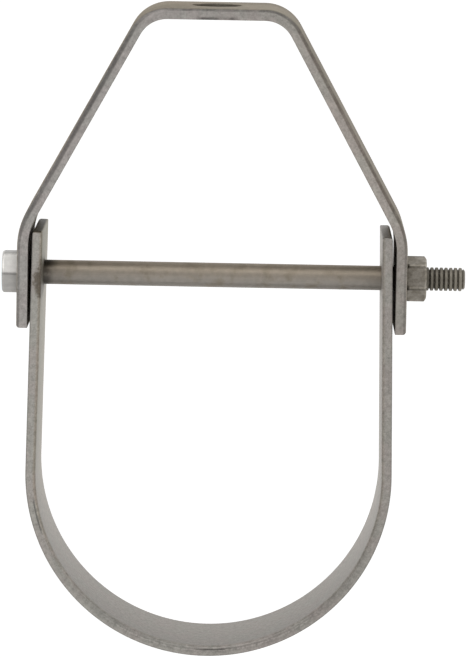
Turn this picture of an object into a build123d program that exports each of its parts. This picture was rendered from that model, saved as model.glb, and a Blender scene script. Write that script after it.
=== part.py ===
"""Clevis hanger for a 3 inch pipe, bent from flat stainless strap.

A yoke hangs from a threaded rod through the hole in its top plate. A saddle
strap with two ears stands inside the yoke's legs and carries the pipe. One
hex bolt with a nut crosses both straps, and the saddle swings on it.

Millimetres. X runs along the bolt, from its head to its nut. Y runs along the
pipe. Z is up, along the hanger rod. The origin is the centre of the rod hole,
on the underside of the top plate, where the rod's lock nut bears.
"""
import os
from math import cos, radians, sin, tan

from build123d import *

# Pipe and flat stock
PIPE_DIAMETER = 88.9
PIPE_ROOM = 1.85
STRAP_WIDTH = 31.75
SADDLE_THICKNESS = 2.78
YOKE_THICKNESS = 3.04

# Long edges of the stock, rolled round on the yoke and slit on the saddle, and the sheared ends
ROLLED_EDGE = 0.6
SLIT_EDGE = 0.4
SHEARED_EDGE = 0.6

# Saddle strap, above its half circle
PIPE_TO_BOLT = 6.5
LEG_LEAN = 1.0
EAR_ABOVE_BOLT = 12.7

# Yoke, measured on its inside faces
BOLT_DROP = 69.65
PLATE_WIDTH = 35.4
SHOULDER_RADIUS = 8.0
KNEE_ABOVE_BOLT = 12.75
KNEE_RADIUS = 17.0
LEG_BELOW_BOLT = 13.35
EAR_GAP = 0.8
ROD_HOLE_DIAMETER = 12.7

# Corner that the shear took off the foot beside the nut, measured on its front edge
FOOT_CLIP_RISE = 2.4
FOOT_CLIP_DEPTH = 1.3

# Cross bolt and nut, quarter inch, with a full shank over the thread's size
SHANK_DIAMETER = 6.6
THREAD_DIAMETER = 6.3
THREAD_LENGTH = 19.05
BOLT_HOLE_ROOM = 0.27
BOLT_STANDOUT = 10.4
BOLT_POINT = 0.8
HEX_ACROSS_FLATS = 10.87
HEAD_HEIGHT = 4.6
NUT_THICKNESS = 5.56
HEAD_TURN = 90.0
NUT_TURN = 48.6
THREAD_ROOM = 0.05
HEX_CORNER_CUT = 1.0
HEX_CORNER_ANGLE = 30.0

# Places worked out from the sizes above
SADDLE_RADIUS = PIPE_DIAMETER / 2 + PIPE_ROOM
SADDLE_DROP = PIPE_DIAMETER / 2 - PIPE_ROOM + PIPE_TO_BOLT + SHANK_DIAMETER / 2
BOLT_Z = -BOLT_DROP
SADDLE_Z = BOLT_Z - SADDLE_DROP


def leg_half_span(radius, height):
    """Distance from the middle to a saddle leg's face, at a height over the saddle's centre."""
    lean = radians(LEG_LEAN)
    return (radius - height * sin(lean)) / cos(lean)


YOKE_HALF_SPAN = leg_half_span(SADDLE_RADIUS + SADDLE_THICKNESS, SADDLE_DROP) + EAR_GAP
BEARING_X = YOKE_HALF_SPAN + YOKE_THICKNESS
BOLT_LENGTH = 2 * BEARING_X + NUT_THICKNESS + BOLT_STANDOUT
HEX_CIRCLE = HEX_ACROSS_FLATS / 2 / cos(radians(30))


def bolt_bore(diameter, start_x, length):
    """Cylinder on the bolt's axis, from start_x towards +X."""
    bore = Cylinder(diameter / 2, length, align=(Align.CENTER, Align.CENTER, Align.MIN))
    return Pos(start_x, 0, BOLT_Z) * Rot(0, 90, 0) * bore


def bent_strap(outline, thickness, shape_ends, ease_edges, edge_size):
    """Strap of full width, bent along the inside outline, with its long edges eased."""
    with BuildPart() as strap:
        with BuildSketch(Plane.XZ) as profile:
            with BuildLine():
                outline()
                offset(amount=thickness, side=Side.RIGHT)
            make_face()
            shape_ends(profile)
        extrude(amount=STRAP_WIDTH / 2, both=True)
        ease_edges(faces().filter_by(Axis.Y).edges(), edge_size)
    return strap.part


def bolt_holes():
    """Clearance for the bolt through every leg and ear."""
    reach = 2 * BEARING_X
    return bolt_bore(SHANK_DIAMETER + 2 * BOLT_HOLE_ROOM, -reach, 2 * reach)


def saddle_outline():
    """Half circle under the pipe, between two legs that lean in towards the ears."""
    lean = radians(LEG_LEAN)
    foot_x = SADDLE_RADIUS * cos(lean)
    foot_z = SADDLE_Z + SADDLE_RADIUS * sin(lean)
    ear_x = leg_half_span(SADDLE_RADIUS, SADDLE_DROP + EAR_ABOVE_BOLT)
    ear_z = BOLT_Z + EAR_ABOVE_BOLT
    Line((-ear_x, ear_z), (-foot_x, foot_z))
    ThreePointArc((-foot_x, foot_z), (0, SADDLE_Z - SADDLE_RADIUS), (foot_x, foot_z))
    Line((foot_x, foot_z), (ear_x, ear_z))


def saddle_ends(profile):
    """Sheared tops of the two ears."""
    fillet(profile.vertices().sort_by(Axis.Y)[-4:], SHEARED_EDGE)


def make_saddle():
    """Saddle strap with the bolt's holes through its ears."""
    strap = bent_strap(saddle_outline, SADDLE_THICKNESS, saddle_ends, chamfer, SLIT_EDGE)
    return strap - bolt_holes()


def yoke_outline():
    """Feet, knees and shoulders of the yoke, on its inside faces."""
    foot = (YOKE_HALF_SPAN, BOLT_Z - LEG_BELOW_BOLT)
    knee = (YOKE_HALF_SPAN, BOLT_Z + KNEE_ABOVE_BOLT)
    shoulder = (PLATE_WIDTH / 2, 0)
    right = [foot, knee, shoulder]
    left = [(-x, z) for x, z in reversed(right)]
    bends = [KNEE_RADIUS, SHOULDER_RADIUS, SHOULDER_RADIUS, KNEE_RADIUS]
    FilletPolyline(*right, *left, radius=bends)


def yoke_ends(profile):
    """Sheared feet."""
    fillet(profile.vertices().sort_by(Axis.Y)[:4], SHEARED_EDGE)


def foot_clip():
    """Block that takes the inner corner off the foot beside the nut, less and less towards the back."""
    sole_z = BOLT_Z - LEG_BELOW_BOLT
    front_y = -STRAP_WIDTH / 2
    high = Vector(YOKE_HALF_SPAN, front_y, sole_z + FOOT_CLIP_RISE)
    deep = Vector(YOKE_HALF_SPAN + FOOT_CLIP_DEPTH, front_y, sole_z)
    back = Vector(YOKE_HALF_SPAN, -front_y, sole_z)
    cut = Plane(origin=high, x_dir=deep - high, z_dir=(back - high).cross(deep - high))
    standing = (Align.CENTER, Align.CENTER, Align.MIN)
    return cut * Box(4 * YOKE_THICKNESS, 4 * STRAP_WIDTH, YOKE_THICKNESS, align=standing)


def make_yoke():
    """Yoke with the rod's hole in its top plate and the bolt's holes in its legs."""
    rod_hole = Cylinder(ROD_HOLE_DIAMETER / 2, 4 * YOKE_THICKNESS)
    strap = bent_strap(yoke_outline, YOKE_THICKNESS, yoke_ends, fillet, ROLLED_EDGE)
    return strap - foot_clip() - rod_hole - bolt_holes()


def hexagon(thickness, turn, cut_ends):
    """Hex blank standing on Z = 0, with its corners cut round at the listed ends."""
    blank = extrude(RegularPolygon(HEX_CIRCLE, 6, rotation=turn), amount=thickness)
    turned = Cylinder(HEX_CIRCLE, thickness, align=(Align.CENTER, Align.CENTER, Align.MIN))
    rise = HEX_CORNER_CUT * tan(radians(HEX_CORNER_ANGLE))
    for end in cut_ends:
        rim = turned.edges().filter_by(GeomType.CIRCLE).sort_by(Axis.Z)[end]
        side = turned.faces().filter_by(GeomType.CYLINDER)[0]
        turned = chamfer(rim, rise, HEX_CORNER_CUT, reference=side)
    return blank & turned


def make_bolt():
    """Hex bolt under tension between its head and its nut."""
    head = Pos(-BEARING_X, 0, BOLT_Z) * Rot(0, -90, 0) * hexagon(HEAD_HEIGHT, HEAD_TURN, [-1])
    shank = bolt_bore(SHANK_DIAMETER, -BEARING_X, BOLT_LENGTH - THREAD_LENGTH)
    thread = bolt_bore(THREAD_DIAMETER, -BEARING_X, BOLT_LENGTH)
    point = thread.edges().filter_by(GeomType.CIRCLE).sort_by(Axis.X)[-1]
    return head + shank + chamfer(point, BOLT_POINT)


def make_nut():
    """Hex nut, cut round at both ends, with a plain bore at the thread's size."""
    blank = hexagon(NUT_THICKNESS, NUT_TURN, [0, -1])
    placed = Pos(BEARING_X, 0, BOLT_Z) * Rot(0, 90, 0) * blank
    return placed - bolt_bore(THREAD_DIAMETER + 2 * THREAD_ROOM, BEARING_X, NUT_THICKNESS)


os.makedirs("parts", exist_ok=True)
export_step(make_yoke(), "parts/yoke.step")
export_step(make_saddle(), "parts/saddle_strap.step")
export_step(make_bolt(), "parts/cross_bolt.step")
export_step(make_nut(), "parts/hex_nut.step")
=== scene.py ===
"""Looks of the clevis hanger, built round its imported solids.

Metres, in the frame of the solids: X runs along the bolt from its head to its
nut, Y runs along the pipe and away from the camera, and Z is up the hanger rod.
The origin is the centre of the rod hole, on the underside of the top plate.
"""

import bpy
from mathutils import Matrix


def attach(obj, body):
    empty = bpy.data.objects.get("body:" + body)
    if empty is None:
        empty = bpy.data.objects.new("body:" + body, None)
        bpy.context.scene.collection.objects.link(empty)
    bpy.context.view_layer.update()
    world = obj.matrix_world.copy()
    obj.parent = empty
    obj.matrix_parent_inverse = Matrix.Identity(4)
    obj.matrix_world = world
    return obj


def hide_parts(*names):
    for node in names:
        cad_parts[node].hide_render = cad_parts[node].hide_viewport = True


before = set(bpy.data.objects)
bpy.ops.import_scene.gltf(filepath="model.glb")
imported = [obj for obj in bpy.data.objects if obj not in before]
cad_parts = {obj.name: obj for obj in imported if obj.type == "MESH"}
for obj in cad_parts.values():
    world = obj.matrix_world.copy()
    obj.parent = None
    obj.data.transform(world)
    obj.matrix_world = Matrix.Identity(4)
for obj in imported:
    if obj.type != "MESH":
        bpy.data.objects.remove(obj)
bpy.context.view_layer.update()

from math import cos, pi, radians, sin, tan, tau

import bmesh
import bpy
from mathutils import Matrix, Vector

MM = 0.001

# Flat stock
STRAP_WIDTH = 31.75 * MM
SADDLE_THICKNESS = 2.78 * MM
YOKE_THICKNESS = 3.04 * MM

# Saddle strap, on its inside face
SADDLE_RADIUS = 46.3 * MM
SADDLE_DROP = 52.4 * MM
LEG_LEAN = radians(1.0)
EAR_ABOVE_BOLT = 12.7 * MM

# Yoke, on its inside face
BOLT_DROP = 69.65 * MM
PLATE_WIDTH = 35.4 * MM
SHOULDER_RADIUS = 8.0 * MM
KNEE_ABOVE_BOLT = 12.75 * MM
KNEE_RADIUS = 17.0 * MM
LEG_BELOW_BOLT = 13.35 * MM
EAR_GAP = 0.8 * MM
FOOT_CLIP_RISE = 2.4 * MM
FOOT_CLIP_DEPTH = 1.3 * MM

# Punched holes
ROD_HOLE_RADIUS = 6.35 * MM
BOLT_HOLE_RADIUS = 3.57 * MM

# Cross bolt and nut
SHANK_RADIUS = 3.3 * MM
THREAD_RADIUS = 3.15 * MM
BOLT_STANDOUT = 10.4 * MM
BOLT_POINT = 0.8 * MM
THREAD_PITCH = 1.27 * MM
THREAD_DEPTH = 0.62 * MM
THREAD_LENGTH = 19.05 * MM
HEX_ACROSS_FLATS = 10.87 * MM
HEX_CHAMFER_RADIUS = 5.28 * MM
HEX_CHAMFER_ANGLE = radians(30)
HEX_CORNER_EASE = 0.12 * MM
HEAD_HEIGHT = 4.6 * MM
NUT_THICKNESS = 5.56 * MM
NUT_TURN = radians(18.6)
NUT_BORE_RADIUS = 3.2 * MM

# How the camera stood
CAMERA_PLACE = Vector((13.55, -1187.82, 74.05)) * MM
CAMERA_YAW = radians(-0.375)
CAMERA_PITCH = radians(7.598)
CAMERA_ROLL = radians(1.032)
CAMERA_LENS = 242.4
CAMERA_SENSOR = 36.0
CAMERA_REACH = 200.0

# Room around the hanger, in metres and watts
FLOOR_DROP = 1.2
FLOOR_REACH = 60.0
LAMP_SIZE = 0.9
KEY_LAMP_PLACE = (-0.3, -1.0, 1.2)
KEY_LAMP_POWER = 6.5
FILL_LAMP_PLACE = (1.2, -0.8, 0.5)
FILL_LAMP_POWER = 2.0
WHITE = (1.0, 1.0, 1.0, 1.0)
PAPER = (0.9, 0.9, 0.9, 1.0)
PAPER_GLOW = 0.42

# Light of the room, in front and at the back: as gloss sees it, and as it falls on matt surfaces
MIRRORED_ROOM = (0.72, 1.0)
PLAIN_ROOM = (0.6, 0.8)

# How far along Y a ray heads where the front's light ends, and where the back's is full
FRONT_TO_BACK = (-0.7, 0.3)

# Places worked out from the sizes above
HALF_WIDTH = STRAP_WIDTH / 2
EAR_HOLE = EAR_ABOVE_BOLT / cos(LEG_LEAN)
BOLT_Z = -BOLT_DROP
SADDLE_Z = BOLT_Z - SADDLE_DROP


def leg_half_span(radius, height):
    """Distance from the middle to a saddle leg's face, at a height over the saddle's centre."""
    return (radius - height * sin(LEG_LEAN)) / cos(LEG_LEAN)


YOKE_HALF_SPAN = leg_half_span(SADDLE_RADIUS + SADDLE_THICKNESS, SADDLE_DROP) + EAR_GAP
BEARING_X = YOKE_HALF_SPAN + YOKE_THICKNESS
BOLT_END_X = BEARING_X + NUT_THICKNESS + BOLT_STANDOUT


# Node trees: a node is fed with numbers, sockets or another node's first output

class Wire:
    """A socket in a node tree that can stand in a formula."""

    def __init__(self, tree, socket):
        self.tree = tree
        self.socket = socket

    def calc(self, operation, *values, clamp=False):
        """One step of arithmetic with these values."""
        inputs = dict(enumerate(values))
        return add(self.tree, "ShaderNodeMath", inputs, operation=operation, use_clamp=clamp)

    def __add__(self, other):
        return self.calc("ADD", self, other)

    def __radd__(self, other):
        return self.calc("ADD", other, self)

    def __sub__(self, other):
        return self.calc("SUBTRACT", self, other)

    def __rsub__(self, other):
        return self.calc("SUBTRACT", other, self)

    def __mul__(self, other):
        return self.calc("MULTIPLY", self, other)

    def __rmul__(self, other):
        return self.calc("MULTIPLY", other, self)

    def __truediv__(self, other):
        return self.calc("DIVIDE", self, other)

    def __neg__(self):
        return self.calc("MULTIPLY", self, -1.0)

    def __abs__(self):
        return self.calc("ABSOLUTE", self)

    def cos(self):
        return self.calc("COSINE", self)

    def sin(self):
        return self.calc("SINE", self)

    def fract(self):
        return self.calc("FRACT", self)

    def floor(self):
        return self.calc("FLOOR", self)

    def least(self, other):
        return self.calc("MINIMUM", self, other)

    def most(self, other):
        return self.calc("MAXIMUM", self, other)

    def softer_least(self, other, blend):
        return self.calc("SMOOTH_MIN", self, other, blend)

    def under(self, limit):
        return self.calc("LESS_THAN", self, limit)

    def clamp(self):
        return self.calc("ADD", self, 0.0, clamp=True)

    def ramp(self, low, high):
        """0 at low and 1 at high, with a smooth step between."""
        inputs = {"Value": self, "From Min": low, "From Max": high}
        return add(self.tree, "ShaderNodeMapRange", inputs, interpolation_type="SMOOTHSTEP")

    def fade(self, low, high):
        """1 at low and 0 at high, with a smooth step between."""
        return 1.0 - self.ramp(low, high)

    def blend(self, start, end):
        """Start where this is 0 and end where it is 1."""
        return start + self * (end - start)

    def parts(self):
        """The three parts of a vector."""
        node = add_node(self.tree, "ShaderNodeSeparateXYZ", {0: self})
        return [Wire(self.tree, socket) for socket in node.outputs]


def add_node(tree, kind, inputs=None, **settings):
    """Adds a node, sets it and feeds its inputs, which are named or numbered."""
    node = tree.nodes.new(kind)
    for name, value in settings.items():
        setattr(node, name, value)
    for name, value in (inputs or {}).items():
        socket = node.inputs[name]
        if isinstance(name, str):
            socket = next(s for s in node.inputs if s.enabled and s.name == name)
        if isinstance(value, Wire):
            tree.links.new(value.socket, socket)
        else:
            socket.default_value = value
    return node


def add(tree, kind, inputs=None, out=None, **settings):
    """Adds a node and gives back one output, the first that is in use if none is named."""
    node = add_node(tree, kind, inputs, **settings)
    outputs = [s for s in node.outputs if s.enabled and out in (None, s.name)]
    return Wire(tree, outputs[0])


def emptied_tree(owner):
    """The node tree of a material or a world, with nothing in it yet."""
    owner.use_nodes = True
    owner.node_tree.nodes.clear()
    return owner.node_tree


def vector(tree, x, y, z):
    """Joins three numbers into a vector."""
    return add(tree, "ShaderNodeCombineXYZ", {0: x, 1: y, 2: z})


def vector_calc(tree, operation, *values):
    """One step of vector arithmetic."""
    return add(tree, "ShaderNodeVectorMath", dict(enumerate(values)), operation=operation)


def scaled(tree, arrow, factor):
    """A vector or a colour made longer or brighter."""
    return add(tree, "ShaderNodeVectorMath", {"Vector": arrow, "Scale": factor}, operation="SCALE")


def length_of(tree, arrow):
    """Length of a vector."""
    return add(tree, "ShaderNodeVectorMath", {0: arrow}, out="Value", operation="LENGTH")


# Shapes: a flat pattern made here, and a rule in Geometry Nodes that gives it its form

def shape_tree(name, sizes, objects=()):
    """Geometry Nodes group with a geometry in and out and named inputs for its sizes."""
    tree = bpy.data.node_groups.new(name, "GeometryNodeTree")
    tree.interface.new_socket("Geometry", in_out="INPUT", socket_type="NodeSocketGeometry")
    for size in sizes:
        tree.interface.new_socket(size, in_out="INPUT", socket_type="NodeSocketFloat")
    for item in objects:
        tree.interface.new_socket(item, in_out="INPUT", socket_type="NodeSocketObject")
    tree.interface.new_socket("Material", in_out="INPUT", socket_type="NodeSocketMaterial")
    tree.interface.new_socket("Geometry", in_out="OUTPUT", socket_type="NodeSocketGeometry")
    entry = tree.nodes.new("NodeGroupInput")
    given = {socket.name: Wire(tree, socket) for socket in entry.outputs if socket.name}
    return tree, given


def end_shape(tree, shape, material, sharp_from):
    """Smooths the faces up to an angle between them, then realises and dresses the shape."""
    smooth = add(tree, "GeometryNodeSetShadeSmooth", {"Geometry": shape, "Shade Smooth": True})
    angle = add(tree, "GeometryNodeInputMeshEdgeAngle", out="Unsigned Angle")
    limit = {"A": angle, "B": sharp_from}
    soft = add(tree, "FunctionNodeCompare", limit, data_type="FLOAT", operation="LESS_THAN")
    edges = {"Geometry": smooth, "Shade Smooth": soft}
    eased = add(tree, "GeometryNodeSetShadeSmooth", edges, domain="EDGE")
    real = add(tree, "GeometryNodeRealizeInstances", {"Geometry": eased})
    dressed = add(tree, "GeometryNodeSetMaterial", {"Geometry": real, "Material": material})
    add_node(tree, "NodeGroupOutput", {0: dressed})


def mesh_object(name, mesh):
    """Puts a mesh into the scene at the origin."""
    thing = bpy.data.objects.new(name, mesh)
    bpy.context.scene.collection.objects.link(thing)
    return thing


def formed_object(name, form):
    """Puts a finished form into the scene at the origin."""
    mesh = bpy.data.meshes.new(name)
    form.to_mesh(mesh)
    form.free()
    return mesh_object(name, mesh)


def give_shape(thing, tree, **values):
    """Hangs a shape's rule on an object, its inputs set by their identifiers."""
    rule = thing.modifiers.new(tree.name, "NODES")
    rule.node_group = tree
    for item in tree.interface.items_tree:
        key = item.name.replace(" ", "_")
        if item.in_out == "INPUT" and key in values:
            rule[item.identifier] = values[key]


def settle(thing, weld=0.0):
    """Turns an object's modifiers into a plain mesh whose faces point outwards."""
    graph = bpy.context.evaluated_depsgraph_get()
    made = bpy.data.meshes.new_from_object(thing.evaluated_get(graph))
    thing.modifiers.clear()
    thing.data = made
    form = bmesh.new()
    form.from_mesh(made)
    if weld:
        bmesh.ops.remove_doubles(form, verts=form.verts, dist=weld)
        bmesh.ops.dissolve_degenerate(form, edges=form.edges, dist=weld)
    bmesh.ops.recalc_face_normals(form, faces=form.faces)
    form.to_mesh(made)
    form.free()
    return thing


# Straps

# Grid of a flat blank, and how many of its cells a hole's window reaches from the hole's middle
GRID = 1.2 * MM
BEND_GRID = 0.6 * MM
TIGHT_BEND = 20.0 * MM
LEAST_CELL = 0.4
NEAR = GRID / 10
BOLT_HOLE_CELLS = 5
ROD_HOLE_CELLS = 8
RING_CROWDING = 1.2

# How a blank is bent, and swells at its edges inside a bend
ROUTE_STEPS = 90
BEND_FEELER = 1.5 * MM
SWELL = 0.9 * MM
SWELL_REACH = 1.4
UNEVENNESS = 0.03 * MM

# How far a blank's inner and outer edges are rolled round, in millimetres
YOKE_EDGES = (0.45, 0.9)
SADDLE_EDGES = (1.0, 0.35)
SHEARED_EDGES = (0.3, 0.85)
PUNCHED_EDGES = (0.2, 0.5)
CORNER_EDGE = 0.5
EDGE_STEPS = 4
SHARP_EDGE = radians(15)


def saddle_route():
    """Corners of the saddle's inside line, from the ear by the nut round to the ear by the head."""
    top = SADDLE_DROP + EAR_ABOVE_BOLT
    ear = (leg_half_span(SADDLE_RADIUS, top), SADDLE_Z + top, 0)
    turn = (leg_half_span(SADDLE_RADIUS, -SADDLE_RADIUS), SADDLE_Z - SADDLE_RADIUS, SADDLE_RADIUS)
    return [ear, turn, mirrored(turn), mirrored(ear)]


def yoke_route():
    """Corners of the yoke's inside line, from the foot by the head over to the foot by the nut."""
    foot = (YOKE_HALF_SPAN, BOLT_Z - LEG_BELOW_BOLT, 0)
    knee = (YOKE_HALF_SPAN, BOLT_Z + KNEE_ABOVE_BOLT, KNEE_RADIUS)
    shoulder = (PLATE_WIDTH / 2, 0, SHOULDER_RADIUS)
    return [mirrored(foot), mirrored(knee), mirrored(shoulder), shoulder, knee, foot]


def mirrored(corner):
    """The same corner on the other side of the middle."""
    x, z, radius = corner
    return (-x, z, radius)


def stretches(route):
    """Lengths of a route's straights and bends, in turn, each with its radius, 0 on the straights."""
    marks = [Vector((x, z)) for x, z, _ in route]
    turns = [0.0] * len(route)
    for at in range(1, len(route) - 1):
        turns[at] = (marks[at] - marks[at - 1]).angle(marks[at + 1] - marks[at])
    takes = [radius * tan(turn / 2) for (_, _, radius), turn in zip(route, turns)]
    found = []
    for at in range(len(route) - 1):
        if at:
            radius = route[at][2]
            found.append((radius * turns[at], radius))
        straight = (marks[at + 1] - marks[at]).length - takes[at] - takes[at + 1]
        found.append((max(straight, 0.0), 0.0))
    return found


def length_along(route):
    """Length of a route's line."""
    return sum(length for length, _ in stretches(route))


def columns(route, punches):
    """Places along a blank where its grid has a line, finer in tight bends and even round the holes."""
    stops = {0.0}
    fine = []
    place = 0.0
    for length, radius in stretches(route):
        if 0.0 < radius < TIGHT_BEND:
            fine.append((place, place + length))
        place += length
        stops.add(place)
    for middle, _, cells in punches:
        kept = (middle - cells * GRID, middle + cells * GRID)
        stops = {s for s in stops if not kept[0] - GRID / 2 < s < kept[1] + GRID / 2} | set(kept)
    stops = sorted(stops)
    places = [stops[0]]
    for start, end in zip(stops, stops[1:]):
        in_bend = any(low <= (start + end) / 2 <= high for low, high in fine)
        count = max(1, round((end - start) / (BEND_GRID if in_bend else GRID)))
        places += [start + (end - start) * n / count for n in range(1, count + 1)]
    return [s for n, s in enumerate(places) if n == 0 or s - places[n - 1] > NEAR / 2]


def rows():
    """Places across a blank where its grid has a line."""
    inner = int(HALF_WIDTH / GRID - LEAST_CELL)
    half = [n * GRID for n in range(inner + 1)] + [HALF_WIDTH]
    return [-y for y in reversed(half[1:])] + half


def punched_grid(route, punches):
    """Flat grid of points and quads, with rings of quads round each hole."""
    along = columns(route, punches)
    across = rows()
    wide = len(across)
    points = [(s, y) for s in along for y in across]
    window_of = {}
    for middle, _, cells in punches:
        reach = cells * GRID + NEAR
        for n, (s, y) in enumerate(points):
            if abs(s - middle) < reach and abs(y) < reach:
                window_of[n] = middle
    quads = []
    for i in range(len(along) - 1):
        for j in range(wide - 1):
            near = i * wide + j
            far = near + wide
            quad = [near, far, far + 1, near + 1]
            if not all(n in window_of for n in quad):
                quads.append(quad)
    for middle, radius, cells in punches:
        window = [n for n, owner in window_of.items() if owner == middle]
        ring_hole(points, quads, window, middle, radius, cells)
    return points, quads


def ring_hole(points, quads, window, middle, radius, cells):
    """Fills a square window in the grid with rings of quads round its hole."""
    spokes = {n: Vector((points[n][0] - middle, points[n][1])) for n in window}
    rim = [n for n in window if max(abs(part) for part in spokes[n]) > (cells - 0.5) * GRID]
    rim.sort(key=lambda n: spokes[n].angle_signed(Vector((1, 0))))
    last = rim
    for ring in range(cells - 1, -1, -1):
        share = (ring / cells) ** RING_CROWDING
        fresh = []
        for n in rim:
            edge = spokes[n].normalized() * radius
            spot = edge.lerp(spokes[n], share)
            fresh.append(len(points))
            points.append((middle + spot.x, spot.y))
        for k in range(len(rim)):
            m = (k + 1) % len(rim)
            quads.append([fresh[k], last[k], last[m], fresh[m]])
        last = fresh


def weigh_edges(form, thickness, length, long_edges):
    """Notes on each sharp edge of a blank how far it is rolled round."""
    weights = form.edges.layers.float.new("bevel_weight_edge")
    form.normal_update()
    for line in form.edges:
        if line.calc_face_angle() < SHARP_EDGE:
            continue
        first, last = (end.co for end in line.verts)
        s, y, depth = (first + last) / 2
        outer = depth > thickness / 2
        if abs(first.z - last.z) > thickness / 2:
            line[weights] = CORNER_EDGE
        elif abs(y) > HALF_WIDTH - NEAR:
            line[weights] = long_edges[outer]
        elif min(s, length - s) < NEAR:
            line[weights] = SHEARED_EDGES[outer]
        else:
            line[weights] = PUNCHED_EDGES[outer]


def blank(name, route, thickness, long_edges, punches, clipped):
    """Flat strap with punched holes, whose edges wait to be rolled round."""
    points, quads = punched_grid(route, punches)
    length = length_along(route)
    form = bmesh.new()
    inside = [form.verts.new((s, y, 0.0)) for s, y in points]
    outside = [form.verts.new((s, y, thickness)) for s, y in points]
    lines = [pair for quad in quads for pair in zip(quad, quad[1:] + quad[:1])]
    known = set(lines)
    for quad in quads:
        form.faces.new([outside[n] for n in quad])
        form.faces.new([inside[n] for n in reversed(quad)])
    for a, b in lines:
        if (b, a) not in known:
            form.faces.new([outside[b], outside[a], inside[a], inside[b]])
    in_holes = [point for point in form.verts if not point.link_faces]
    bmesh.ops.delete(form, geom=in_holes, context="VERTS")
    weigh_edges(form, thickness, length, long_edges)
    if clipped:
        clip_corner(form, length)
    thing = formed_object(name, form)
    eased = thing.modifiers.new("eased_edges", "BEVEL")
    eased.limit_method = "WEIGHT"
    eased.width = MM
    eased.segments = EDGE_STEPS
    eased.use_clamp_overlap = False
    return thing


def clip_corner(form, length):
    """Takes the front inside corner off the far end of a blank, less and less towards the back."""
    high = Vector((length - FOOT_CLIP_RISE, -HALF_WIDTH, 0))
    deep = Vector((length, -HALF_WIDTH, FOOT_CLIP_DEPTH))
    back = Vector((length, HALF_WIDTH, 0))
    away = (deep - high).cross(back - high)
    if away.z > 0:
        away.negate()
    everything = form.verts[:] + form.edges[:] + form.faces[:]
    cut = bmesh.ops.bisect_plane(
        form, geom=everything, dist=GRID / 1000, plane_co=high, plane_no=away, clear_outer=True
    )
    rim = [part for part in cut["geom_cut"] if isinstance(part, bmesh.types.BMEdge)]
    bmesh.ops.edgeloop_fill(form, edges=rim)


def bending_rule():
    """Bends a flat blank along a route, its inside face on the line."""
    sizes = ["Length", "Thickness", "Half width", "Edge swell", "Unevenness", "Seed"]
    tree, given = shape_tree("bend_strap", sizes, ["Route"])
    place = add(tree, "GeometryNodeInputPosition")
    along, across, depth = place.parts()
    kept = add(
        tree,
        "GeometryNodeStoreNamedAttribute",
        {"Geometry": given["Geometry"], "Name": "stock", "Value": place},
        data_type="FLOAT_VECTOR",
        domain="POINT",
    )
    line = add(tree, "GeometryNodeObjectInfo", {"Object": given["Route"]}, out="Geometry")
    bends = {"Curve": line, "Count": ROUTE_STEPS, "Radius": add(tree, "GeometryNodeInputRadius")}
    path = add(tree, "GeometryNodeFilletCurve", bends, mode="POLY")

    def sample(shift, out):
        """The path's place or heading, at a shift along the strap."""
        factor = (along + shift) / given["Length"]
        inputs = {"Curves": path, "Factor": factor.clamp()}
        return add(tree, "GeometryNodeSampleCurve", inputs, out=out, mode="FACTOR")

    spot = sample(0.0, "Position")
    heading = sample(0.0, "Tangent")
    ahead = sample(BEND_FEELER, "Tangent")
    behind = sample(-BEND_FEELER, "Tangent")
    curving = length_of(tree, vector_calc(tree, "SUBTRACT", ahead, behind)) / (2 * BEND_FEELER)
    outwards = vector_calc(tree, "CROSS_PRODUCT", heading, (0.0, 1.0, 0.0))
    swell_start = given["Half width"] - SWELL_REACH * given["Thickness"]
    near_edge = abs(across).ramp(swell_start, given["Half width"])
    squeezed = (0.5 - depth / given["Thickness"]) * curving * given["Thickness"]
    swelling = near_edge * squeezed * given["Edge swell"]
    side = across.calc("SIGN", across)
    lifted = vector_calc(tree, "ADD", spot, scaled(tree, outwards, depth))
    formed = vector_calc(tree, "ADD", lifted, vector(tree, 0.0, across + side * swelling, 0.0))
    bent = add(tree, "GeometryNodeSetPosition", {"Geometry": kept, "Position": formed})
    stock = add(
        tree,
        "GeometryNodeInputNamedAttribute",
        {"Name": "stock"},
        out="Attribute",
        data_type="FLOAT_VECTOR",
    )
    rolling = add(
        tree,
        "ShaderNodeTexNoise",
        {"Vector": stock, "W": given["Seed"], "Scale": 260.0, "Detail": 3.0, "Roughness": 0.6},
        noise_dimensions="4D",
    )
    normal = add(tree, "GeometryNodeInputNormal")
    sink = scaled(tree, normal, -(rolling * given["Unevenness"]))
    worn = add(tree, "GeometryNodeSetPosition", {"Geometry": bent, "Offset": sink})
    end_shape(tree, worn, given["Material"], sharp_from=radians(40))
    return tree


def bent_strap(name, route, thickness, long_edges, punches, finish, seed, clipped=False):
    """A blank bent along its route, with its holes where the bolt and the rod pass."""
    thing = blank(name, route, thickness, long_edges, punches, clipped)
    line = bpy.data.curves.new("route", "CURVE")
    line.dimensions = "3D"
    spline = line.splines.new("POLY")
    spline.points.add(len(route) - 1)
    for point, (x, z, radius) in zip(spline.points, route):
        point.co = (x, 0, z, 1)
        point.radius = radius
    guide = mesh_object("route", line)
    give_shape(
        thing,
        bpy.data.node_groups["bend_strap"],
        Length=length_along(route),
        Thickness=thickness,
        Half_width=HALF_WIDTH,
        Edge_swell=SWELL,
        Unevenness=UNEVENNESS,
        Seed=seed,
        Route=guide,
        Material=finish,
    )
    settle(thing)
    bpy.data.objects.remove(guide)
    return thing


# Hexagons and thread

AROUND = 96
CHAMFER_EASE = 0.35 * MM
WELD = 0.002 * MM

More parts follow.
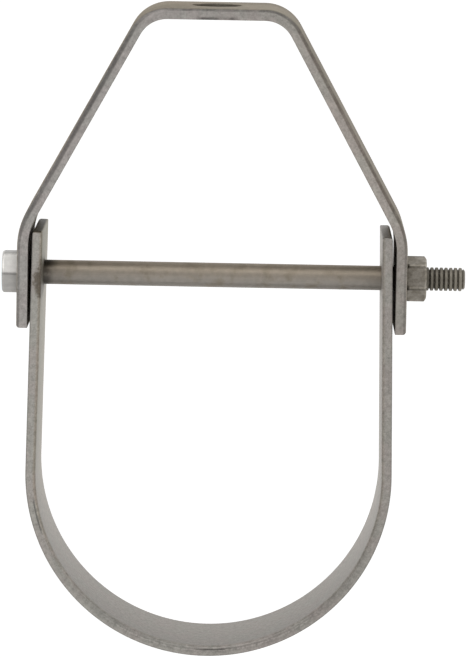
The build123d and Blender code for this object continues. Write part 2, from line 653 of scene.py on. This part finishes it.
# Rows of a hexagon's grid: reach from its bore to its rim, and drop from its face to its seat
SIDE_DROPS = (0.0, 0.02, 0.045, 0.075, 0.11, 0.15, 0.2, 0.28, 0.4, 0.5)
FACE_HALF = [(1.0, drop) for drop in SIDE_DROPS]
SEAT_HALF = [(1.0, 1.0 - drop) for drop in reversed(SIDE_DROPS[:-1])]
HEAD_FACE = [(0.0, 0.0), (0.35, 0.0), (0.7, 0.0), (0.92, 0.0)]
HEAD_SEAT = [(0.6, 1.0), (0.0, 1.0)]
NUT_FACE = [(0.0, 0.07), (0.12, 0.0), (0.5, 0.0), (0.92, 0.0)]
NUT_SEAT = [(0.92, 1.0), (0.5, 1.0), (0.12, 1.0), (0.0, 0.93)]
NUT_BORE = [(0.0, 0.5), (0.0, 0.07)]

# Rows of the bolt's grid, and where its thread's flank starts and ends, as shares of half a pitch
SHANK_ROWS = 60
ROWS_A_TURN = 12
CAP_ROWS = 3
FLANK_START = 0.06
FLANK_END = 0.5
RUN_OUT_TURNS = 1.5


def hex_rule():
    """Turns a pattern of turn, reach and drop into a hexagon with its corners cut round."""
    sizes = ["Base x", "Height", "Facing", "Turn", "Across flats", "Corner ease", "Chamfer radius"]
    sizes += ["Chamfer slope", "Second chamfer", "Face bore", "Seat bore"]
    tree, given = shape_tree("cut_hexagon", sizes)
    turn, reach, drop = add(tree, "GeometryNodeInputPosition").parts()
    angle = turn * tau
    apothem = given["Across flats"] / 2
    side = apothem / (angle.calc("FLOORED_MODULO", angle, pi / 3) - pi / 6).cos()
    circle = apothem / cos(pi / 6)
    eased = side.softer_least(circle - given["Corner ease"], given["Corner ease"] * 3)
    rise = given["Height"] * (1.0 - drop)
    face_cone = given["Chamfer radius"] + (given["Height"] - rise) / given["Chamfer slope"]
    seat_cone = given["Chamfer radius"] + rise / given["Chamfer slope"]
    # Without a second chamfer, its cone stands a metre out, where it cuts nothing
    seat_cone = seat_cone + (1.0 - given["Second chamfer"])
    rim = eased.softer_least(face_cone, CHAMFER_EASE).softer_least(seat_cone, CHAMFER_EASE)
    bore = given["Face bore"] + (given["Seat bore"] - given["Face bore"]) * drop
    radius = bore + (rim - bore) * reach
    spin = angle + given["Turn"]
    x = given["Base x"] + given["Facing"] * rise
    formed = vector(tree, x, radius * spin.cos(), radius * spin.sin() + BOLT_Z)
    shaped = add(tree, "GeometryNodeSetPosition", {"Geometry": given["Geometry"], "Position": formed})
    end_shape(tree, shaped, given["Material"], sharp_from=radians(28))
    return tree


def ring_pattern(name, profile):
    """Grid of quads, once round by a list of reach and drop."""
    form = bmesh.new()
    grid = [
        [form.verts.new((turn / AROUND, reach, drop)) for turn in range(AROUND + 1)]
        for reach, drop in profile
    ]
    for low, high in zip(grid, grid[1:]):
        for n in range(AROUND):
            form.faces.new([low[n], low[n + 1], high[n + 1], high[n]])
    return formed_object(name, form)


def hexagon(name, profile, finish, **sizes):
    """A hex head or nut of its own sizes."""
    thing = ring_pattern(name, profile)
    give_shape(
        thing,
        bpy.data.node_groups["cut_hexagon"],
        Across_flats=HEX_ACROSS_FLATS,
        Corner_ease=HEX_CORNER_EASE,
        Chamfer_radius=HEX_CHAMFER_RADIUS,
        Chamfer_slope=tan(HEX_CHAMFER_ANGLE),
        Material=finish,
        **sizes,
    )
    return settle(thing, WELD)


def thread_rule():
    """Shank with a rolled thread up to its chamfered point, as one grid wound on a helix."""
    sizes = ["Start x", "Thread x", "End x", "Shank radius", "Thread radius", "Pitch", "Depth", "Point"]
    tree, given = shape_tree("roll_thread", sizes)
    thread_rows = ROWS_A_TURN * (int(THREAD_LENGTH / THREAD_PITCH) + 2)
    total = SHANK_ROWS + thread_rows + CAP_ROWS
    counts = {"Vertices X": AROUND + 1, "Vertices Y": total + 1}
    sheet = {"Size X": 1.0, "Size Y": float(total), **counts}
    grid = add(tree, "GeometryNodeMeshGrid", sheet, out="Mesh")
    across, up, _ = add(tree, "GeometryNodeInputPosition").parts()
    turn = across + 0.5
    row = (up + total / 2 + 0.5).floor()
    thread_row = row - SHANK_ROWS
    on_shank = thread_row.under(-0.5)
    wound = thread_row / ROWS_A_TURN + turn - 1.0
    free_x = given["Thread x"] + wound * given["Pitch"]
    thread_x = free_x.most(given["Thread x"]).least(given["End x"])
    shank_x = given["Start x"] + (given["Thread x"] - given["Start x"]) * (row / SHANK_ROWS)
    x = on_shank.blend(thread_x, shank_x)
    ridge = abs((wound.fract() - 0.5) * 2.0)
    flank = ridge.ramp(FLANK_START, FLANK_END)
    run_out = ((thread_x - given["Thread x"]) / (given["Pitch"] * RUN_OUT_TURNS)).clamp()
    groove = given["Depth"] * (1.0 - flank) * run_out
    crest = run_out.blend(given["Shank radius"], given["Thread radius"])
    pointed = given["Thread radius"] - given["Point"] + (given["End x"] - thread_x)
    threaded = (crest - groove).least(pointed)
    closing = ((thread_row - thread_rows) / CAP_ROWS).clamp()
    radius = on_shank.blend(threaded * (1.0 - closing), given["Shank radius"])
    spin = turn * tau
    formed = vector(tree, x, radius * spin.cos(), radius * spin.sin() + BOLT_Z)
    wrapped = add(tree, "GeometryNodeSetPosition", {"Geometry": grid, "Position": formed})
    welded = add(tree, "GeometryNodeMergeByDistance", {"Geometry": wrapped, "Distance": WELD})
    end_shape(tree, welded, given["Material"], sharp_from=radians(50))
    return tree


def threaded_shank(name, finish):
    """The bolt below its head."""
    thing = mesh_object(name, bpy.data.meshes.new(name))
    give_shape(
        thing,
        bpy.data.node_groups["roll_thread"],
        Start_x=-BEARING_X,
        Thread_x=BOLT_END_X - THREAD_LENGTH,
        End_x=BOLT_END_X,
        Shank_radius=SHANK_RADIUS,
        Thread_radius=THREAD_RADIUS,
        Pitch=THREAD_PITCH,
        Depth=THREAD_DEPTH,
        Point=BOLT_POINT,
        Material=finish,
    )
    return settle(thing, WELD)


def joined(name, first, second):
    """Two open shells welded along their shared ring."""
    form = bmesh.new()
    form.from_mesh(first.data)
    form.from_mesh(second.data)
    bmesh.ops.remove_doubles(form, verts=form.verts, dist=WELD)
    bmesh.ops.recalc_face_normals(form, faces=form.faces)
    form.to_mesh(first.data)
    form.free()
    bpy.data.objects.remove(second)
    first.name = name
    return first


# Finishes

# Colours of the yoke's stock
YOKE_SHEEN = (0.68, 0.64, 0.58, 1.0)
YOKE_INSIDE = (0.32, 0.30, 0.26, 1.0)
YOKE_OUTSIDE_BY_HEAD = (0.27, 0.238, 0.19, 1.0)
YOKE_OUTSIDE_BY_NUT = (0.31, 0.285, 0.245, 1.0)
YOKE_EDGE_BY_HEAD = (0.34, 0.322, 0.309, 1.0)
YOKE_EDGE_BY_NUT = (0.295, 0.274, 0.252, 1.0)
# Colour of the dark line along the outer corner of the edges
YOKE_SCALE = (0.25, 0.2, 0.15, 1.0)

# Colours of the saddle's stock
SADDLE_INSIDE_BY_NUT = (0.397, 0.370, 0.338, 1.0)
SADDLE_INSIDE_BY_HEAD = (0.375, 0.352, 0.298, 1.0)
SADDLE_OUTSIDE = (0.31, 0.285, 0.245, 1.0)
SADDLE_EDGE_BY_NUT = (0.307, 0.289, 0.269, 1.0)
SADDLE_EDGE_BY_HEAD = (0.346, 0.33, 0.308, 1.0)
SADDLE_CORNER = (0.30, 0.25, 0.19, 1.0)
# Colour of the stains, also laid as painted shade round the ears' holes
SADDLE_STAIN = (0.105, 0.09, 0.068, 1.0)
SADDLE_FILM = (0.25, 0.235, 0.175, 1.0)
# Brown of the cut ear end, also darkening it as painted shade
SADDLE_SHEARED = (0.26, 0.215, 0.155, 1.0)

# Colours of the bolt and the nut
SHANK_BELOW = (0.28, 0.26, 0.233, 1.0)
SHANK_ABOVE = (0.293, 0.253, 0.203, 1.0)
SHANK_SMEAR = (0.21, 0.175, 0.13, 1.0)
THREAD_STEEL = (0.235, 0.215, 0.18, 1.0)
HEAD_STEEL = (0.40, 0.39, 0.375, 1.0)
NUT_STEEL = (0.25, 0.23, 0.20, 1.0)
NUT_GRIME = (0.165, 0.148, 0.12, 1.0)

# Grain of the straps: scale, detail and roughness of each cloudy pattern
STRAP_GRAIN = {
    "speckle": (2400.0, 2.0, 0.7),
    "mottle": (850.0, 3.0, 0.6),
    "blotch": (210.0, 4.0, 0.6),
    "cloud": (45.0, 3.0, 0.5),
}

# Casts that the pickling left in patches, and the pattern of the patches
WARM_CAST = (1.02, 0.995, 0.99, 1.0)
COOL_CAST = (0.99, 1.005, 0.985, 1.0)
CAST_GRAIN = (190.0, 2.0, 0.5)
CAST_SHIFT = (0.5, 0.0, 0.0)

# Scales of the drawn out patterns, along them and across
STRAP_SCRATCHES = (60.0, 1800.0)
SHANK_STREAKS = (30.0, 1100.0)

# How deep each finish is pitted or drawn
STRAP_PITTING = 0.035 * MM
SHANK_DRAWING = 0.008 * MM
NUT_PITTING = 0.02 * MM


def steel(name):
    """A material and its tree, which bare_metal ends."""
    made = bpy.data.materials.new(name)
    return made, emptied_tree(made)


def bare_metal(tree, colour, roughness, height, depth, sheen=WHITE):
    """Ends a tree with bare metal of this colour and roughness, its heights as fine bumps."""
    bump = add(tree, "ShaderNodeBump", {"Height": height, "Distance": depth, "Strength": 1.0})
    looks = {"Base Color": colour, "Metallic": 1.0, "Roughness": roughness}
    metal = add(tree, "ShaderNodeBsdfPrincipled", {**looks, "Normal": bump, "Specular Tint": sheen})
    add_node(tree, "ShaderNodeOutputMaterial", {"Surface": metal})


def noise(tree, place, scale, detail, roughness):
    """Cloudy pattern between 0 and 1."""
    inputs = {"Vector": place, "Scale": scale, "Detail": detail, "Roughness": roughness}
    return add(tree, "ShaderNodeTexNoise", inputs)


def drawn_out(tree, place, along, across):
    """Streaky pattern between 0 and 1, with its scales along X and across it."""
    return noise(tree, vector_calc(tree, "MULTIPLY", place, (along, across, across)), 1.0, 3.0, 0.6)


def tinted(tree, share, under, over):
    """Under where the share is 0, over where it is 1; each a colour or a wire."""
    inputs = {"Factor": share, "A": under, "B": over}
    return add(tree, "ShaderNodeMix", inputs, data_type="RGBA")


def marked(tone, marks):
    """A tone with marks drawn on it, each a share of the light."""
    for mark in marks:
        tone = tone * mark
    return tone


def band(value, middle, reach):
    """1 along a line in a wire's values, fading out on both sides."""
    return abs(value - middle).fade(reach * 0.25, reach)


def hex_sides(tree, y, z):
    """1 on the sides and the cut corners of a hexagon on the bolt's line, 0 on its end face."""
    from_line = length_of(tree, vector(tree, 0.0, y, z - BOLT_Z))
    return from_line.ramp(HEX_CHAMFER_RADIUS - CHAMFER_EASE, HEX_CHAMFER_RADIUS)


def strap_ground(tree, thickness, seed):
    """What both straps' finishes are painted on: places in the flat stock and its grain."""
    stock = add(tree, "ShaderNodeAttribute", out="Vector", attribute_name="stock")
    along, across, depth = stock.parts()
    place = vector_calc(tree, "ADD", stock, (seed, seed / 2, 0.0))
    elsewhere = vector_calc(tree, "ADD", place, CAST_SHIFT)
    grain = {name: noise(tree, place, *kind) for name, kind in STRAP_GRAIN.items()}
    return {
        **grain,
        "stock": stock,
        "along": along,
        "across": across,
        "depth": depth,
        "hue": noise(tree, elsewhere, *CAST_GRAIN),
        "scratches": drawn_out(tree, place, *STRAP_SCRATCHES),
        "edge": abs(across).ramp(HALF_WIDTH - 0.7 * MM, HALF_WIDTH - 0.2 * MM),
        "outside": depth.ramp(thickness * 0.45, thickness * 0.9),
    }


def pickled(tree, ground, colour, marks, sheen=WHITE):
    """Ends a tree with dull pickled stock, its grain in the colour, the roughness and fine pitting."""
    speckle, mottle, blotch = (ground[name] for name in ("speckle", "mottle", "blotch"))
    tone = marked(speckle * 0.8 + mottle * 0.9 + blotch * 0.3, marks)
    cast = tinted(tree, ground["hue"].ramp(0.36, 0.64), WARM_CAST, COOL_CAST)
    grained = scaled(tree, vector_calc(tree, "MULTIPLY", colour, cast), tone)
    height = speckle * 0.5 + ground["scratches"] * 0.3 + mottle
    bare_metal(tree, grained, 0.42 + blotch * 0.16, height, STRAP_PITTING, sheen)


def from_hole(tree, ground, centre):
    """Distance from a hole's middle, over the flat stock."""
    flat = vector_calc(tree, "MULTIPLY", ground["stock"], (1.0, 1.0, 0.0))
    return length_of(tree, vector_calc(tree, "SUBTRACT", flat, (centre, 0.0, 0.0)))


def yoke_finish(length):
    """Yoke stock: grey edges, a dark line by the rolled outer corner, tan faces, painted shade in the
    rod hole.
    """
    made, tree = steel("yoke_strap_steel")
    ground = strap_ground(tree, YOKE_THICKNESS, seed=0.3)
    along, depth, edge, outside = (ground[name] for name in ("along", "depth", "edge", "outside"))
    cloud, blotch = ground["cloud"], ground["blotch"]
    to_nut = along.ramp(length * 0.35, length * 0.72)
    middle = abs(along - length / 2)
    upright = middle.ramp(length / 2 - 32 * MM, length / 2 - 20 * MM)
    slanted = middle.ramp(14 * MM, 24 * MM) * (1.0 - upright)
    plate = middle.fade(12 * MM, 20 * MM)

    skin = tinted(tree, to_nut, YOKE_OUTSIDE_BY_HEAD, YOKE_OUTSIDE_BY_NUT)
    faces = tinted(tree, outside, YOKE_INSIDE, skin)
    edges = tinted(tree, to_nut, YOKE_EDGE_BY_HEAD, YOKE_EDGE_BY_NUT)
    plain = tinted(tree, edge, faces, edges)

    # A dark line along the outer corner of the edges, broken up, strongest on the slanted legs by the
    # nut.
    set_back = slanted * (0.25 * MM - to_nut * 0.3 * MM)
    line_depth = YOKE_THICKNESS - 0.5 * MM + plate * 0.1 * MM - set_back
    line_reach = 0.5 * MM + slanted * (0.35 * MM - to_nut * 0.2 * MM)
    broken = 0.55 + 0.25 * cloud.ramp(0.35, 0.6) + 0.2 * blotch.ramp(0.35, 0.6)
    scale_line = (abs(depth - line_depth) / line_reach).fade(0.3, 1.0) * edge * broken
    colour = tinted(tree, scale_line * slanted * to_nut * 0.45, plain, YOKE_SCALE)

    # Dark irregular patches on the front edge below the rod hole.
    smudge = middle.fade(3.5 * MM, 7 * MM) * band(depth, 0.25 * MM, 0.8 * MM) * edge
    smudge = smudge * blotch.ramp(0.36, 0.6)
    # Painted shade: the wall of the rod hole is darkened.
    bore = from_hole(tree, ground, length / 2).fade(ROD_HOLE_RADIUS, ROD_HOLE_RADIUS + 0.5 * MM)
    marks = [
        1.0 - (0.4 + 0.2 * slanted + 0.25 * plate) * scale_line,
        1.0 - 0.6 * smudge,
        1.0 - 0.7 * bore,
        1.0 - (0.12 + 0.12 * to_nut * outside) * slanted * (1.0 - edge),
        1.0 + 0.18 * slanted * edge * to_nut,
        1.0 + outside * (1.0 - edge) * (0.06 - 0.2 * cloud.ramp(0.42, 0.62)),
    ]
    pickled(tree, ground, colour, marks, YOKE_SHEEN)
    return made


def edge_tears(ground, from_seat):
    """A painted highlight along the burr that slitting left on the saddle's edges, and a dark line
    along the front one under and beside the pipe.
    """
    edge = ground["edge"]
    tear = ground["depth"] - (1.1 * MM + (ground["blotch"] - 0.5) * 0.35 * MM)
    torn = abs(from_seat + 2 * MM).fade(22 * MM, 34 * MM)
    # Painted highlight along the burr.
    hairline = band(tear, 0.12 * MM, 0.3 * MM) * edge * torn * ground["mottle"].ramp(0.4, 0.55)
    under_pipe = abs(from_seat + 2 * MM).fade(2 * MM, 6 * MM)
    beside_pipe = abs(from_seat - 61 * MM).fade(3 * MM, 6 * MM)
    front = ground["across"].fade(-HALF_WIDTH, -HALF_WIDTH + 0.5 * MM)
    # A dark line along the front edge, under and beside the pipe.
    crack = band(tear, -0.1 * MM, 0.32 * MM) * edge * under_pipe.most(beside_pipe) * front
    return hairline, crack


def bolt_stain(tree, ground, length, by_head):
    """Dark rings round the ears' holes, and a streak through the ear by the head: stains, with painted
    shade where the shank enters the ears.
    """
    across, blotch, mottle = (ground[name] for name in ("across", "blotch", "mottle"))
    near_hole = from_hole(tree, ground, EAR_HOLE).least(from_hole(tree, ground, length - EAR_HOLE))
    uneven = near_hole + (blotch - 0.5) * 4 * MM
    ring = uneven.fade(BOLT_HOLE_RADIUS, BOLT_HOLE_RADIUS + 2.5 * MM)
    wander = (ground["cloud"] - 0.5) * 8.0 * across.ramp(-HALF_WIDTH, -HALF_WIDTH + 5 * MM)
    aside = abs(by_head + (0.5 - wander) * MM) / (4.2 * MM)
    narrowing = 1.4 * across.ramp(-7 * MM, 9 * MM)
    streak = 2.0 - aside - narrowing - ground["depth"] / (1.9 * MM)
    streak = streak + (blotch - 0.5) * 2.2 + (mottle - 0.5) * 2.4
    streak = streak.ramp(0.3, 1.15) * by_head.ramp(-9 * MM, -7 * MM)
    thinner = 0.35 * mottle.ramp(0.62, 0.4) * (1.0 - ground["edge"])
    return ring.most(streak * (0.95 - thinner))


def saddle_finish(length):
    """Saddle stock: pale inside, a torn line along the edge with a painted highlight on its burr, dark
    stains mixed with painted shade by the ears' holes, and painted shade on the end of the ear by the
    head.
    """
    made, tree = steel("saddle_strap_steel")
    ground = strap_ground(tree, SADDLE_THICKNESS, seed=0.7)
    along, across, depth, edge = (ground[name] for name in ("along", "across", "depth", "edge"))
    mottle, outside = ground["mottle"], ground["outside"]
    inside = 1.0 - outside
    from_seat = along - length / 2
    by_head = along - (length - EAR_HOLE)
    seat = abs(from_seat).fade(25 * MM, 75 * MM)

    to_head = along.ramp(length * 0.68, length * 0.84)
    within = tinted(tree, to_head, SADDLE_INSIDE_BY_NUT, SADDLE_INSIDE_BY_HEAD)
    faces = tinted(tree, outside, within, SADDLE_OUTSIDE)
    side_to_head = along.ramp(length * 0.4, length * 0.7)
    edges = tinted(tree, side_to_head, SADDLE_EDGE_BY_NUT, SADDLE_EDGE_BY_HEAD)
    plain = tinted(tree, edge, faces, edges)

    corner = band(depth, 0.2 * MM, 0.9 * MM) * edge * (1.0 - seat)
    browned = corner * (0.2 + 0.3 * along.ramp(length * 0.3, length * 0.7))
    # Stains mixed with painted shade round the ears' holes, where the shank enters.
    stain = bolt_stain(tree, ground, length, by_head)
    end_film = by_head.ramp(1 * MM, 7 * MM) * depth.fade(1.0 * MM, 2.0 * MM) * (1.0 - edge)
    # The cut end of the ear by the head: brown cut steel, darkened further by painted shade under the
    # yoke's knee.
    ear_end = by_head.ramp(EAR_HOLE - 0.6 * MM, EAR_HOLE - 0.2 * MM)
    sheared = ear_end * depth.ramp(0.15 * MM, 0.6 * MM)
    colour = tinted(tree, browned, plain, SADDLE_CORNER)
    colour = tinted(tree, stain * 0.92, colour, SADDLE_STAIN)
    colour = tinted(tree, end_film * 0.55, colour, SADDLE_FILM)
    colour = tinted(tree, sheared * 0.7, colour, SADDLE_SHEARED)

    rolled = abs(across).ramp(HALF_WIDTH - 1.05 * MM, HALF_WIDTH - 0.65 * MM)
    to_front = (across / STRAP_WIDTH + 0.5).fade(-0.2, 0.9) * inside
    outer_corner = band(depth, SADDLE_THICKNESS - 0.1 * MM, 0.4 * MM) * edge
    hairline, crack = edge_tears(ground, from_seat)
    other_end = along.fade(0.15 * MM, 0.5 * MM)
    marks = [
        1.0 - 0.05 * corner,
        1.0 - 0.2 * outer_corner,
        1.0 - 0.5 * crack,
        1.0 + 0.35 * hairline,
        1.0 - 0.22 * to_front * (1.0 - rolled),
        1.0 - (0.26 - 0.08 * rolled) * seat * inside,
        1.0 - 0.09 * (1.0 - seat) * inside * (1.0 - edge),
        1.0 - 0.78 * sheared,
        1.0 - other_end * (0.2 + 0.25 * mottle.ramp(0.4, 0.65)),
    ]
    pickled(tree, ground, colour, marks)
    return made


def bolt_finish():
    """Drawn shank with an olive film, a bright cold headed head and a darker thread, with painted shade
    where the bolt meets the ear, the yoke's leg and the nut, and a painted highlight on the head's rim.
    """
    made, tree = steel("drawn_bolt_steel")
    place = add(tree, "ShaderNodeTexCoord", out="Object")
    x, y, z = place.parts()
    streak = drawn_out(tree, place, *SHANK_STREAKS)
    blotch = noise(tree, place, 220.0, 4.0, 0.6)
    mottle = noise(tree, place, 700.0, 3.0, 0.6)
    head = x.fade(-BEARING_X - 0.4 * MM, -BEARING_X - 0.1 * MM)
    thread = x.ramp(BEARING_X, BEARING_X + 1 * MM)
    sides = hex_sides(tree, y, z)

    upper = z.ramp(BOLT_Z - 2 * MM, BOLT_Z + 2 * MM)
    colour = tinted(tree, upper, SHANK_BELOW, SHANK_ABOVE)
    colour = tinted(tree, blotch.ramp(0.5, 0.7) * 0.6, colour, SHANK_SMEAR)
    colour = tinted(tree, thread, colour, THREAD_STEEL)
    colour = tinted(tree, head, colour, HEAD_STEEL)

    # Painted shade with some stains on the shank beside the ear by the head, darker on its top.
    from_ear = abs(x + leg_half_span(SADDLE_RADIUS, SADDLE_DROP))
    by_ear = from_ear.fade(0.8 * MM, 3 * MM) * blotch.ramp(0.2, 0.45)
    end_top = from_ear.fade(1.5 * MM, 4.5 * MM) * z.ramp(BOLT_Z + 1.2 * MM, BOLT_Z + 2.4 * MM)
    # Painted shade on the shank in the gap between the ear and the yoke's leg, and inside the leg.
    past_ear = abs(x).ramp(YOKE_HALF_SPAN - EAR_GAP, YOKE_HALF_SPAN - EAR_GAP / 2)
    between = past_ear * abs(x).fade(BEARING_X - 0.5 * MM, BEARING_X)
    # Painted shade on the head next to the yoke's leg.
    by_leg = abs(x + BEARING_X + 0.4 * MM).fade(0.3 * MM, 2.4 * MM)
    ridge = band(z + (blotch - 0.5) * 0.8 * MM, BOLT_Z, 0.5 * MM) * head * sides
    head_end = -BEARING_X - HEAD_HEIGHT
    rim = x.fade(head_end + 0.35 * MM, head_end + 0.75 * MM)
    # Painted highlight on the upper rim of the head's chamfer.
    upper_rim = rim * z.ramp(BOLT_Z - 0.4 * MM, BOLT_Z + 0.4 * MM) * sides
    # Painted shade on the thread, darkest by the nut.
    by_nut = x.fade(BEARING_X + NUT_THICKNESS, BOLT_END_X) * thread
    marks = [
        1.0 - 0.6 * by_ear,
        1.0 - 0.7 * between,
        1.0 - 0.55 * end_top,
        1.0 - 0.2 * by_leg * head,
        1.0 - 0.35 * ridge,
        1.0 + 0.5 * upper_rim,
        1.0 - 0.35 * by_nut,
    ]
    tone = marked(0.55 + streak * 0.3 + mottle * 0.34 + blotch * 0.22, marks)
    roughness = 0.48 + blotch * 0.12 - head * 0.1
    height = streak + blotch * 0.5
    bare_metal(tree, scaled(tree, colour, tone), roughness, height, SHANK_DRAWING)
    return made


def nut_finish():
    """Dull dark steel of the nut, rubbed bright along its corners, with painted shade by the yoke's leg
    and at its seat's corners, and painted light on its upper faces.
    """
    made, tree = steel("dull_nut_steel")
    place = add(tree, "ShaderNodeTexCoord", out="Object")
    x, y, z = place.parts()
    blotch = noise(tree, place, 420.0, 4.0, 0.6)
    fine = noise(tree, place, 1800.0, 2.0, 0.6)
    colour = tinted(tree, blotch.ramp(0.35, 0.65), NUT_STEEL, NUT_GRIME)
    rise = z - BOLT_Z
    turn = rise.calc("ARCTAN2", rise, y) - NUT_TURN
    from_corner = (turn / (pi / 3) + 0.5).fract() - 0.5
    sides = hex_sides(tree, y, z)
    rubbed = band(from_corner, -0.03, 0.06) * sides
    beside = band(from_corner + (blotch - 0.5) * 0.06, 0.06, 0.08) * sides
    # Painted shade on the nut next to the yoke's leg.
    seat = x.fade(BEARING_X, BEARING_X + 0.9 * MM)
    # Painted shadow of the seat's chamfer at the corners beside the yoke's leg.
    undercut = x.fade(BEARING_X + 0.6 * MM, BEARING_X + 1.3 * MM) * band(from_corner, 0.0, 0.16)
    outer_end = BEARING_X + NUT_THICKNESS
    outer_rim = x.ramp(outer_end - 0.7 * MM, outer_end - 0.3 * MM)
    marks = [
        1.0 + 0.35 * rubbed,
        1.0 - 0.4 * beside,
        1.0 - 0.25 * seat,
        1.0 - 0.7 * undercut,
        1.0 + 0.3 * outer_rim * sides,
        1.0 - 0.22 * outer_rim * (1.0 - sides),
        # Painted light on the nut's upper faces.
        1.0 + 0.2 * z.ramp(BOLT_Z + 2.5 * MM, BOLT_Z + 3.5 * MM),
    ]
    dull = scaled(tree, colour, marked(0.66 + fine * 0.7, marks))
    bare_metal(tree, dull, 0.44 + blotch * 0.12, fine + blotch, NUT_PITTING)
    return made


# Floor, light and camera

def seen_by(tree, *kinds):
    """1 where a ray is of one of these kinds."""
    rays = [add(tree, "ShaderNodeLightPath", out=f"Is {kind} Ray") for kind in kinds]
    seen = rays[0]
    for ray in rays[1:]:
        seen = seen.most(ray)
    return seen


def white_to_eye(tree, plain, strength):
    """A shader that the camera, and gloss and glass, see as a white background."""
    seen = seen_by(tree, "Camera", "Glossy", "Transmission")
    glow = add(tree, "ShaderNodeEmission", {"Color": WHITE, "Strength": seen * strength})
    return add(tree, "ShaderNodeAddShader", {0: plain, 1: glow})


def lay_floor():
    """Pale floor, well below the hanger, that keeps its shadow."""
    form = bmesh.new()
    bmesh.ops.create_grid(form, x_segments=1, y_segments=1, size=FLOOR_REACH)
    bmesh.ops.translate(form, verts=form.verts, vec=(0, 0, -FLOOR_DROP))
    floor = formed_object("floor", form)
    paper = bpy.data.materials.new("pale_paper")
    tree = emptied_tree(paper)
    matt = add(tree, "ShaderNodeBsdfDiffuse", {"Color": PAPER})
    add_node(tree, "ShaderNodeOutputMaterial", {"Surface": white_to_eye(tree, matt, PAPER_GLOW)})
    floor.data.materials.append(paper)


def light_room():
    """Soft pale room, white to the camera and brighter at the back, and two broad lamps."""
    world = bpy.data.worlds.new("room")
    bpy.context.scene.world = world
    tree = emptied_tree(world)
    _, away, _ = add(tree, "ShaderNodeTexCoord", out="Generated").parts()
    behind = away.ramp(*FRONT_TO_BACK)
    plain = behind.blend(*PLAIN_ROOM)
    mirrored_room = behind.blend(*MIRRORED_ROOM)
    around = seen_by(tree, "Glossy", "Transmission").blend(plain, mirrored_room)
    strength = seen_by(tree, "Camera").blend(around, 1.0)
    sky = add(tree, "ShaderNodeBackground", {"Color": WHITE, "Strength": strength})
    add_node(tree, "ShaderNodeOutputWorld", {"Surface": sky})
    hang_lamp("key", KEY_LAMP_PLACE, KEY_LAMP_POWER)
    hang_lamp("fill", FILL_LAMP_PLACE, FILL_LAMP_POWER)


def hang_lamp(name, place, power):
    """A square lamp that faces the hanger."""
    data = bpy.data.lights.new(name, "AREA")
    data.shape = "SQUARE"
    data.size = LAMP_SIZE
    data.energy = power
    lamp = bpy.data.objects.new(name, data)
    lamp.location = place
    aim = Vector((0, 0, BOLT_Z)) - lamp.location
    lamp.rotation_euler = aim.to_track_quat("-Z", "Y").to_euler()
    bpy.context.scene.collection.objects.link(lamp)


def stand_camera():
    """Camera where the photograph was taken from."""
    ahead = Vector((
        sin(CAMERA_YAW) * cos(CAMERA_PITCH),
        cos(CAMERA_YAW) * cos(CAMERA_PITCH),
        -sin(CAMERA_PITCH),
    ))
    level_right = Vector((cos(CAMERA_YAW), -sin(CAMERA_YAW), 0))
    level_up = level_right.cross(ahead)
    right = level_right * cos(CAMERA_ROLL) + level_up * sin(CAMERA_ROLL)
    up = level_up * cos(CAMERA_ROLL) - level_right * sin(CAMERA_ROLL)
    data = bpy.data.cameras.new("camera")
    data.sensor_width = CAMERA_SENSOR
    data.lens = CAMERA_LENS
    data.clip_end = CAMERA_REACH
    camera = bpy.data.objects.new("camera", data)
    turn = Matrix((right, up, -ahead)).transposed()
    camera.matrix_world = Matrix.Translation(CAMERA_PLACE) @ turn.to_4x4()
    bpy.context.scene.collection.objects.link(camera)
    bpy.context.scene.camera = camera


# The hanger

bending_rule()
hex_rule()
thread_rule()

saddle_length = length_along(saddle_route())
yoke_length = length_along(yoke_route())

yoke = bent_strap(
    "bent_yoke",
    yoke_route(),
    YOKE_THICKNESS,
    YOKE_EDGES,
    [
        (LEG_BELOW_BOLT, BOLT_HOLE_RADIUS, BOLT_HOLE_CELLS),
        (yoke_length / 2, ROD_HOLE_RADIUS, ROD_HOLE_CELLS),
        (yoke_length - LEG_BELOW_BOLT, BOLT_HOLE_RADIUS, BOLT_HOLE_CELLS),
    ],
    yoke_finish(yoke_length),
    seed=1.0,
    clipped=True,
)
saddle = bent_strap(
    "bent_saddle",
    saddle_route(),
    SADDLE_THICKNESS,
    SADDLE_EDGES,
    [
        (EAR_HOLE, BOLT_HOLE_RADIUS, BOLT_HOLE_CELLS),
        (saddle_length - EAR_HOLE, BOLT_HOLE_RADIUS, BOLT_HOLE_CELLS),
    ],
    saddle_finish(saddle_length),
    seed=2.0,
)

bolt_steel = bolt_finish()
head = hexagon(
    "bolt_head",
    HEAD_FACE + FACE_HALF + SEAT_HALF + HEAD_SEAT,
    bolt_steel,
    Base_x=-BEARING_X,
    Height=HEAD_HEIGHT,
    Facing=-1.0,
    Turn=0.0,
    Second_chamfer=0.0,
    Face_bore=0.0,
    Seat_bore=SHANK_RADIUS,
)
bolt = joined("threaded_bolt", head, threaded_shank("shank", bolt_steel))
nut = hexagon(
    "chamfered_nut",
    NUT_FACE + FACE_HALF + SEAT_HALF + NUT_SEAT + NUT_BORE,
    nut_finish(),
    Base_x=BEARING_X,
    Height=NUT_THICKNESS,
    Facing=1.0,
    Turn=NUT_TURN,
    Second_chamfer=1.0,
    Face_bore=NUT_BORE_RADIUS,
    Seat_bore=NUT_BORE_RADIUS,
)

for piece, body, node, slot in (
    (yoke, "yoke", "yoke", "strap_steel"),
    (saddle, "saddle", "saddle_strap", "strap_steel"),
    (bolt, "yoke", "cross_bolt", "bolt_steel"),
    (nut, "yoke", "hex_nut", "nut_steel"),
):
    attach(piece, body)
    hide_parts(node)

lay_floor()
light_room()
stand_camera()
bpy.context.scene.view_settings.view_transform = "Standard"
